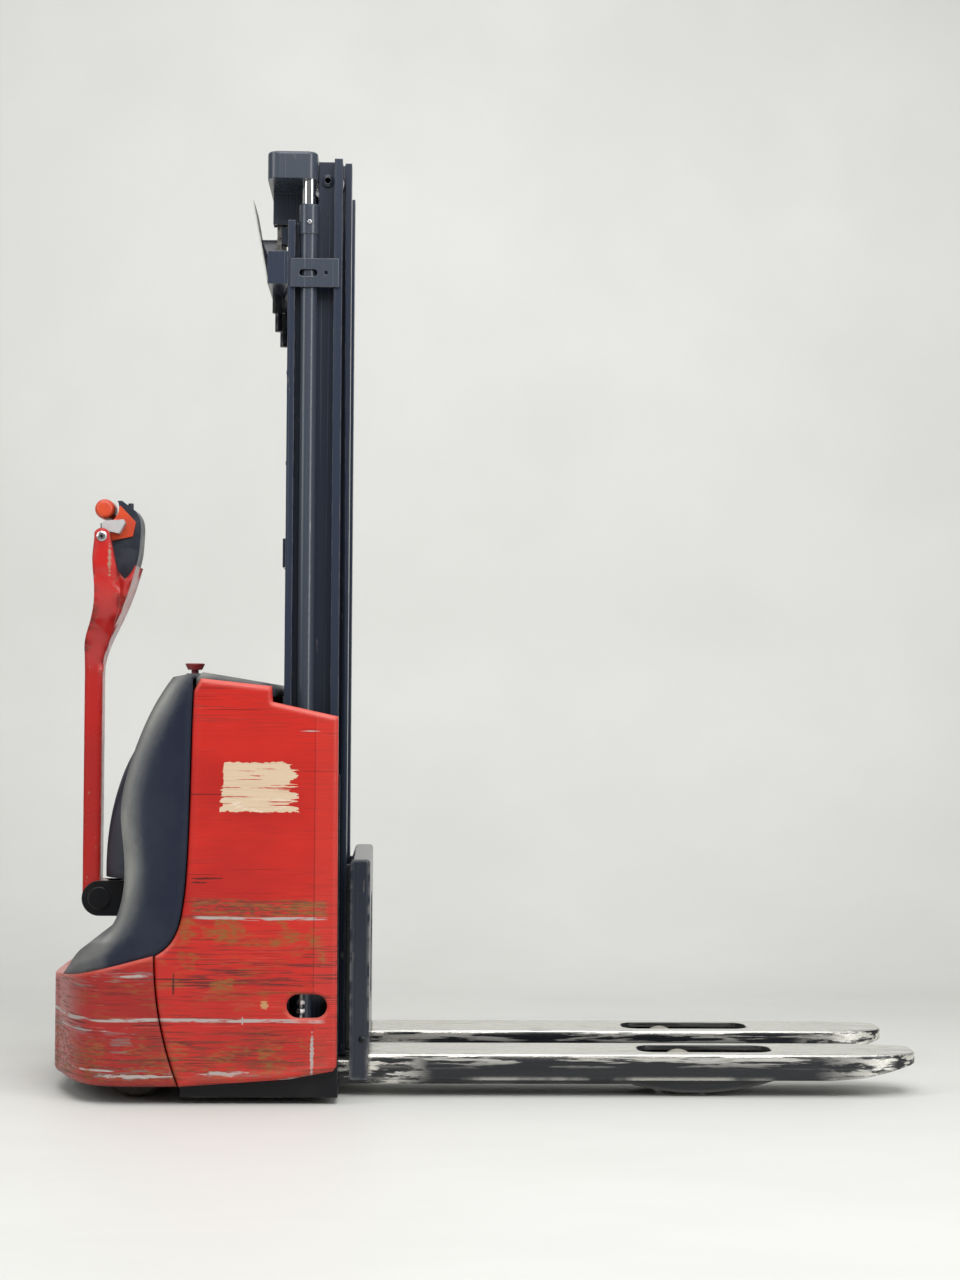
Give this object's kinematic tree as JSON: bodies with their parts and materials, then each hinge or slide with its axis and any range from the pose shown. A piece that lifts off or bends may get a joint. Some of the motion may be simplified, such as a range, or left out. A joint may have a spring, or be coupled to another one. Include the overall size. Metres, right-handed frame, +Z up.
{
  "type": "walk-behind electric forklift",
  "caption": "Pedestrian stacker with a two-stage chain-lift mast, wrap-over forks on support arms, a battery and drive head under moulded covers, and a steering tiller with a control head.",
  "frame": {"origin": "on the floor, at the centre of the truck's length and width", "axes": "+X along the forks, +Y to the operator's left, +Z up"},
  "size_m": [1.82, 0.8, 1.97],
  "materials": {
    "red_panel": "scuffed gloss",
    "red_casting": "painted",
    "charcoal_cover": "satin, dusty",
    "mast_steel": "satin",
    "fork_steel": "worn to bare steel",
    "chassis_steel": "satin",
    "bare_steel": "machined",
    "rod_chrome": "polished",
    "chain_steel": "oiled",
    "wheel_tread": "matt",
    "clear_sheet": "clear",
    "pale_plate": "bare",
    "head_plastic": "satin",
    "orange_plastic": "gloss",
    "grey_plastic": "satin",
    "stop_red": "gloss",
    "battery_case": "matt"
  },
  "bodies": {
    "chassis": {"chassis_tray": "chassis_steel", "side_plates": "chassis_steel", "mast_bulkhead": "chassis_steel", "drive_plate": "chassis_steel", "mast_bolts": "bare_steel", "support_arm_left": "fork_steel", "support_arm_right": "fork_steel", "outer_mast_channels": "mast_steel", "outer_cross_members": "mast_steel", "chain_anchors": "bare_steel", "mast_guard": "clear_sheet", "capacity_plate": "pale_plate", "lift_cylinders": "mast_steel", "cylinder_clamps": "mast_steel", "lift_chains_rear": "chain_steel", "side_panel_left": "red_panel", "side_panel_right": "red_panel", "rear_bumper": "red_panel", "shroud": "charcoal_cover", "hood": "charcoal_cover", "slewing_ring": "bare_steel", "battery_tray": "chassis_steel", "battery_cells": "battery_case", "hydraulic_unit": "chassis_steel", "stop_collar": "head_plastic"},
    "inner_mast": {"inner_mast_channels": "mast_steel", "inner_cross_members": "mast_steel", "crosshead": "mast_steel", "lift_rods": "rod_chrome", "lift_chain_wraps": "chain_steel", "lift_chains_front": "chain_steel"},
    "carriage": {"fork_carriage": "mast_steel", "fork_left": "fork_steel", "fork_right": "fork_steel"},
    "sheaves": {"chain_sheaves": "bare_steel"},
    "outer_rollers": {"outer_mast_rollers": "bare_steel"},
    "inner_rollers": {"inner_mast_rollers": "bare_steel"},
    "carriage_rollers_low": {"carriage_rollers_lower": "bare_steel"},
    "carriage_rollers_high": {"carriage_rollers_upper": "bare_steel"},
    "drive_unit": {"drive_gearbox": "chassis_steel", "drive_motor": "chassis_steel", "tiller_bracket": "chassis_steel"},
    "drive_wheel": {"drive_wheel_hub": "chassis_steel", "drive_wheel_tyre": "wheel_tread"},
    "tiller": {"tiller_arm": "red_casting", "tiller_head": "head_plastic", "head_cover": "orange_plastic"},
    "belly_button": {"belly_switch": "orange_plastic"},
    "throttle": {"throttle_wings": "grey_plastic"},
    "horn": {"horn_button": "head_plastic"},
    "lift_control": {"lift_lever": "head_plastic"},
    "emergency_stop": {"stop_knob": "stop_red"},
    "cover": {"battery_cover": "charcoal_cover"},
    "castor_left": {"castor_fork_left": "chassis_steel"},
    "castor_right": {"castor_fork_right": "chassis_steel"},
    "castor_roll_left": {"castor_wheel_left": "wheel_tread"},
    "castor_roll_right": {"castor_wheel_right": "wheel_tread"},
    "load_roll_left": {"load_wheel_left": "wheel_tread"},
    "load_roll_right": {"load_wheel_right": "wheel_tread"}
  },
  "joints": [
    {"name": "mast_lift", "type": "slide", "parent": "chassis", "child": "inner_mast", "axis": [0, 0, 1], "range_m": [0, 1.42], "deforming": ["lift_chains_rear"]},
    {"name": "carriage_lift", "type": "slide", "parent": "inner_mast", "child": "carriage", "axis": [0, 0, 1], "range_m": [0, 1.42], "deforming": ["lift_chains_front"]},
    {"name": "sheave_turn", "type": "hinge", "parent": "inner_mast", "child": "sheaves", "pos_m": [-0.408, 0, 1.9], "axis": [0, 1, 0], "range_deg": [-2040, 0]},
    {"name": "outer_roller_turn", "type": "hinge", "parent": "chassis", "child": "outer_rollers", "pos_m": [-0.341, 0, 1.916], "axis": [0, 1, 0], "range_deg": [0, 2300]},
    {"name": "inner_roller_turn", "type": "hinge", "parent": "inner_mast", "child": "inner_rollers", "pos_m": [-0.3665, 0, 0.14], "axis": [0, 1, 0], "range_deg": [-2040, 0]},
    {"name": "carriage_roller_low_turn", "type": "hinge", "parent": "carriage", "child": "carriage_rollers_low", "pos_m": [-0.341, 0, 0.128], "axis": [0, 1, 0], "range_deg": [-2300, 0]},
    {"name": "carriage_roller_high_turn", "type": "hinge", "parent": "carriage", "child": "carriage_rollers_high", "pos_m": [-0.341, 0, 0.43], "axis": [0, 1, 0], "range_deg": [0, 2300]},
    {"name": "tiller_steer", "type": "hinge", "parent": "chassis", "child": "drive_unit", "pos_m": [-0.69, 0, 0.25], "axis": [0, 0, 1], "range_deg": [-60, 60]},
    {"name": "drive_roll", "type": "hinge", "parent": "drive_unit", "child": "drive_wheel", "pos_m": [-0.69, 0, 0.115], "axis": [0, 1, 0], "continuous": true},
    {"name": "tiller_tilt", "type": "hinge", "parent": "drive_unit", "child": "tiller", "pos_m": [-0.829, 0, 0.391], "axis": [0, -1, 0], "range_deg": [0, 75], "stiffness_Nm_per_rad": 70, "springref_deg": -17.19},
    {"name": "throttle_turn", "type": "hinge", "parent": "tiller", "child": "throttle", "pos_m": [-0.817, 0, 1.197], "axis": [0, 1, 0], "range_deg": [-30, 30], "stiffness_Nm_per_rad": 0.6},
    {"name": "belly_press", "type": "slide", "parent": "tiller", "child": "belly_button", "axis": [0.7071, 0, -0.7071], "range_m": [0, 0.008], "stiffness_N_per_m": 500, "springref_m": -0.012},
    {"name": "horn_press", "type": "slide", "parent": "tiller", "child": "horn", "axis": [0, 0, -1], "range_m": [0, 0.003], "stiffness_N_per_m": 400, "springref_m": -0.002},
    {"name": "lift_tilt", "type": "hinge", "parent": "tiller", "child": "lift_control", "pos_m": [-0.774, 0.024, 1.232], "axis": [0, 1, 0], "range_deg": [-12, 12], "stiffness_Nm_per_rad": 0.4},
    {"name": "stop_press", "type": "slide", "parent": "chassis", "child": "emergency_stop", "axis": [0, 0, -1], "range_m": [0, 0.007]},
    {"name": "cover_open", "type": "hinge", "parent": "chassis", "child": "cover", "pos_m": [-0.431, 0, 0.838], "axis": [0, 1, 0], "range_deg": [0, 60]},
    {"name": "castor_swivel_left", "type": "hinge", "parent": "chassis", "child": "castor_left", "pos_m": [-0.745, 0.262, 0.2], "axis": [0, 0, 1], "continuous": true},
    {"name": "castor_turn_left", "type": "hinge", "parent": "castor_left", "child": "castor_roll_left", "pos_m": [-0.72, 0.262, 0.0625], "axis": [0, 1, 0], "continuous": true},
    {"name": "load_turn_left", "type": "hinge", "parent": "chassis", "child": "load_roll_left", "pos_m": [0.417, 0.19, 0.0425], "axis": [0, 1, 0], "continuous": true},
    {"name": "castor_swivel_right", "type": "hinge", "parent": "chassis", "child": "castor_right", "pos_m": [-0.745, -0.262, 0.2], "axis": [0, 0, 1], "continuous": true},
    {"name": "castor_turn_right", "type": "hinge", "parent": "castor_right", "child": "castor_roll_right", "pos_m": [-0.72, -0.262, 0.0625], "axis": [0, 1, 0], "continuous": true},
    {"name": "load_turn_right", "type": "hinge", "parent": "chassis", "child": "load_roll_right", "pos_m": [0.417, -0.19, 0.0425], "axis": [0, 1, 0], "continuous": true}
  ],
  "couplings": [
    {"joint": "carriage_lift", "follows": "mast_lift", "ratio": 1},
    {"joint": "sheave_turn", "follows": "mast_lift", "rad_per_m": -25},
    {"joint": "outer_roller_turn", "follows": "mast_lift", "rad_per_m": 28.169},
    {"joint": "inner_roller_turn", "follows": "mast_lift", "rad_per_m": -25},
    {"joint": "carriage_roller_low_turn", "follows": "mast_lift", "rad_per_m": -28.169},
    {"joint": "carriage_roller_high_turn", "follows": "mast_lift", "rad_per_m": 28.169}
  ]
}
